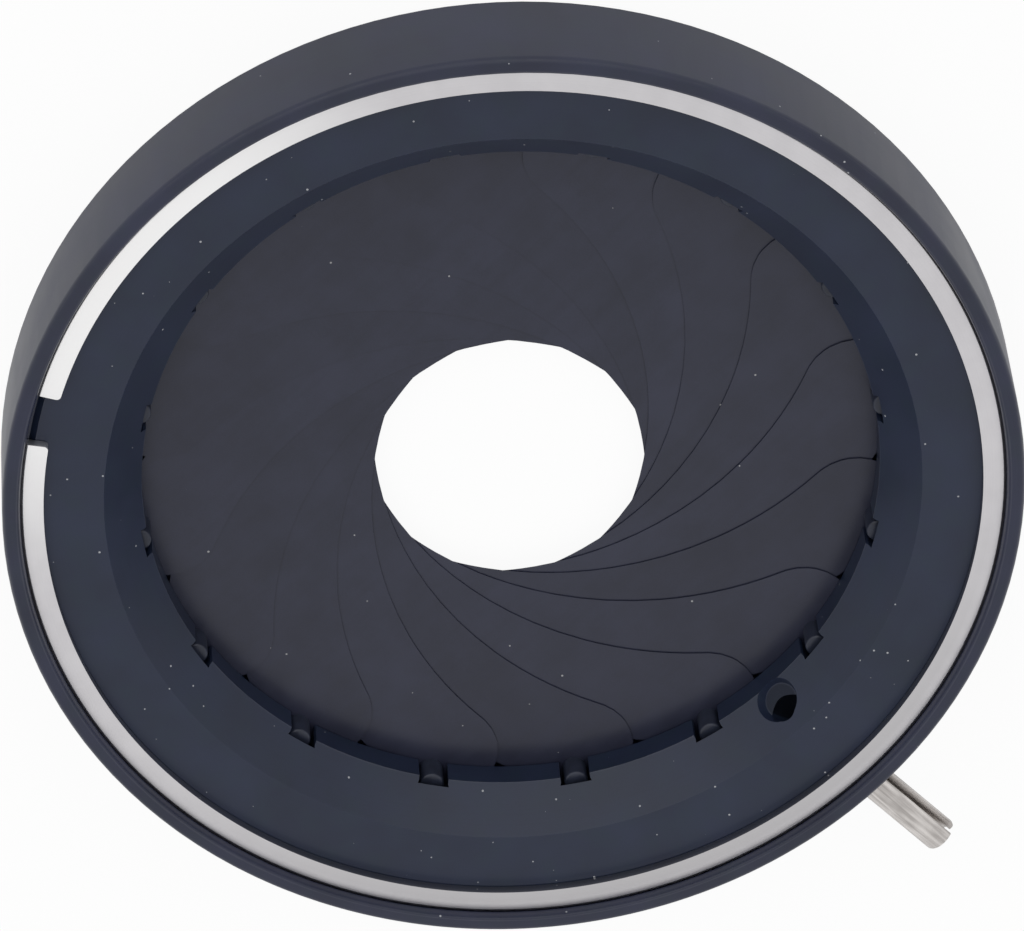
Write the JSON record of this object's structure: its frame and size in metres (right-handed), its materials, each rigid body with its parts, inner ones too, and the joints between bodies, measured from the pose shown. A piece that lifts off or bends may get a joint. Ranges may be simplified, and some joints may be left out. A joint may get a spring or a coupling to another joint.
{
  "type": "iris diaphragm",
  "caption": "Round iris diaphragm: shallow black housing, lever-driven ring and thin overlapping blades that open and close a polygonal aperture, held in by a snap ring.",
  "frame": {"origin": "centre of the housing's back face, on the optical axis", "axes": "+Z along the optical axis towards the front (snap ring) side, +X along the lever at rest"},
  "size_m": [0.078, 0.07, 0.0083],
  "materials": {
    "black_anodised": "satin black anodised",
    "black_anodised_ring": "satin black anodised",
    "spring_steel": "rolled spring steel",
    "bright_steel": "bright stamped steel",
    "dark_blade_steel": "matt blued spring steel",
    "dark_pin_steel": "dark blued steel"
  },
  "bodies": {
    "housing_body": {"housing": "black_anodised", "snap_ring": "bright_steel"},
    "drive_ring_body": {"drive_ring": "black_anodised_ring", "lever_pin": "spring_steel"},
    "blade_body_01": {"blade_01": "dark_blade_steel", "drive_pin_01": "dark_pin_steel", "pivot_pin_01": "dark_pin_steel"},
    "blade_body_02": {"blade_02": "dark_blade_steel", "drive_pin_02": "dark_pin_steel", "pivot_pin_02": "dark_pin_steel"},
    "blade_body_03": {"blade_03": "dark_blade_steel", "drive_pin_03": "dark_pin_steel", "pivot_pin_03": "dark_pin_steel"},
    "blade_body_04": {"blade_04": "dark_blade_steel", "drive_pin_04": "dark_pin_steel", "pivot_pin_04": "dark_pin_steel"},
    "blade_body_05": {"blade_05": "dark_blade_steel", "drive_pin_05": "dark_pin_steel", "pivot_pin_05": "dark_pin_steel"},
    "blade_body_06": {"blade_06": "dark_blade_steel", "drive_pin_06": "dark_pin_steel", "pivot_pin_06": "dark_pin_steel"},
    "blade_body_07": {"blade_07": "dark_blade_steel", "drive_pin_07": "dark_pin_steel", "pivot_pin_07": "dark_pin_steel"},
    "blade_body_08": {"blade_08": "dark_blade_steel", "drive_pin_08": "dark_pin_steel", "pivot_pin_08": "dark_pin_steel"},
    "blade_body_09": {"blade_09": "dark_blade_steel", "drive_pin_09": "dark_pin_steel", "pivot_pin_09": "dark_pin_steel"},
    "blade_body_10": {"blade_10": "dark_blade_steel", "drive_pin_10": "dark_pin_steel", "pivot_pin_10": "dark_pin_steel"},
    "blade_body_11": {"blade_11": "dark_blade_steel", "drive_pin_11": "dark_pin_steel", "pivot_pin_11": "dark_pin_steel"},
    "blade_body_12": {"blade_12": "dark_blade_steel", "drive_pin_12": "dark_pin_steel", "pivot_pin_12": "dark_pin_steel"},
    "blade_body_13": {"blade_13": "dark_blade_steel", "drive_pin_13": "dark_pin_steel", "pivot_pin_13": "dark_pin_steel"},
    "blade_body_14": {"blade_14": "dark_blade_steel", "drive_pin_14": "dark_pin_steel", "pivot_pin_14": "dark_pin_steel"},
    "blade_body_15": {"blade_15": "dark_blade_steel", "drive_pin_15": "dark_pin_steel", "pivot_pin_15": "dark_pin_steel"},
    "blade_body_16": {"blade_16": "dark_blade_steel", "drive_pin_16": "dark_pin_steel", "pivot_pin_16": "dark_pin_steel"}
  },
  "joints": [
    {"name": "ring_turn", "type": "hinge", "parent": "housing_body", "child": "drive_ring_body", "pos_m": [0, 0, 0.0043], "axis": [0, 0, 1], "range_deg": [-65.26, 35.46]},
    {"name": "blade_swing_01", "type": "hinge", "parent": "housing_body", "child": "blade_body_01", "pos_m": [-0.03039, 0.00256, 0.0003], "axis": [0, 0, 1], "range_deg": [-30.04, 16.33]},
    {"name": "blade_swing_02", "type": "hinge", "parent": "housing_body", "child": "blade_body_02", "pos_m": [-0.02906, -0.00926, 0.0003], "axis": [0, 0, 1], "range_deg": [-30.04, 16.33]},
    {"name": "blade_swing_03", "type": "hinge", "parent": "housing_body", "child": "blade_body_03", "pos_m": [-0.0233, -0.01968, 0.0003], "axis": [0, 0, 1], "range_deg": [-30.04, 16.33]},
    {"name": "blade_swing_04", "type": "hinge", "parent": "housing_body", "child": "blade_body_04", "pos_m": [-0.014, -0.0271, 0.0003], "axis": [0, 0, 1], "range_deg": [-30.04, 16.33]},
    {"name": "blade_swing_05", "type": "hinge", "parent": "housing_body", "child": "blade_body_05", "pos_m": [-0.00256, -0.03039, 0.0003], "axis": [0, 0, 1], "range_deg": [-30.04, 16.33]},
    {"name": "blade_swing_06", "type": "hinge", "parent": "housing_body", "child": "blade_body_06", "pos_m": [0.00926, -0.02906, 0.0003], "axis": [0, 0, 1], "range_deg": [-30.04, 16.33]},
    {"name": "blade_swing_07", "type": "hinge", "parent": "housing_body", "child": "blade_body_07", "pos_m": [0.01968, -0.0233, 0.0003], "axis": [0, 0, 1], "range_deg": [-30.04, 16.33]},
    {"name": "blade_swing_08", "type": "hinge", "parent": "housing_body", "child": "blade_body_08", "pos_m": [0.0271, -0.014, 0.0003], "axis": [0, 0, 1], "range_deg": [-30.04, 16.33]},
    {"name": "blade_swing_09", "type": "hinge", "parent": "housing_body", "child": "blade_body_09", "pos_m": [0.03039, -0.00256, 0.0003], "axis": [0, 0, 1], "range_deg": [-30.04, 16.33]},
    {"name": "blade_swing_10", "type": "hinge", "parent": "housing_body", "child": "blade_body_10", "pos_m": [0.02906, 0.00926, 0.0003], "axis": [0, 0, 1], "range_deg": [-30.04, 16.33]},
    {"name": "blade_swing_11", "type": "hinge", "parent": "housing_body", "child": "blade_body_11", "pos_m": [0.0233, 0.01968, 0.0003], "axis": [0, 0, 1], "range_deg": [-30.04, 16.33]},
    {"name": "blade_swing_12", "type": "hinge", "parent": "housing_body", "child": "blade_body_12", "pos_m": [0.014, 0.0271, 0.0003], "axis": [0, 0, 1], "range_deg": [-30.04, 16.33]},
    {"name": "blade_swing_13", "type": "hinge", "parent": "housing_body", "child": "blade_body_13", "pos_m": [0.00256, 0.03039, 0.0003], "axis": [0, 0, 1], "range_deg": [-30.04, 16.33]},
    {"name": "blade_swing_14", "type": "hinge", "parent": "housing_body", "child": "blade_body_14", "pos_m": [-0.00926, 0.02906, 0.0003], "axis": [0, 0, 1], "range_deg": [-30.04, 16.33]},
    {"name": "blade_swing_15", "type": "hinge", "parent": "housing_body", "child": "blade_body_15", "pos_m": [-0.01968, 0.0233, 0.0003], "axis": [0, 0, 1], "range_deg": [-30.04, 16.33]},
    {"name": "blade_swing_16", "type": "hinge", "parent": "housing_body", "child": "blade_body_16", "pos_m": [-0.0271, 0.014, 0.0003], "axis": [0, 0, 1], "range_deg": [-30.04, 16.33]}
  ],
  "couplings": [
    {"joint": "blade_swing_01", "follows": "ring_turn", "ratio": 0.46},
    {"joint": "blade_swing_02", "follows": "ring_turn", "ratio": 0.46},
    {"joint": "blade_swing_03", "follows": "ring_turn", "ratio": 0.46},
    {"joint": "blade_swing_04", "follows": "ring_turn", "ratio": 0.46},
    {"joint": "blade_swing_05", "follows": "ring_turn", "ratio": 0.46},
    {"joint": "blade_swing_06", "follows": "ring_turn", "ratio": 0.46},
    {"joint": "blade_swing_07", "follows": "ring_turn", "ratio": 0.46},
    {"joint": "blade_swing_08", "follows": "ring_turn", "ratio": 0.46},
    {"joint": "blade_swing_09", "follows": "ring_turn", "ratio": 0.46},
    {"joint": "blade_swing_10", "follows": "ring_turn", "ratio": 0.46},
    {"joint": "blade_swing_11", "follows": "ring_turn", "ratio": 0.46},
    {"joint": "blade_swing_12", "follows": "ring_turn", "ratio": 0.46},
    {"joint": "blade_swing_13", "follows": "ring_turn", "ratio": 0.46},
    {"joint": "blade_swing_14", "follows": "ring_turn", "ratio": 0.46},
    {"joint": "blade_swing_15", "follows": "ring_turn", "ratio": 0.46},
    {"joint": "blade_swing_16", "follows": "ring_turn", "ratio": 0.46}
  ]
}
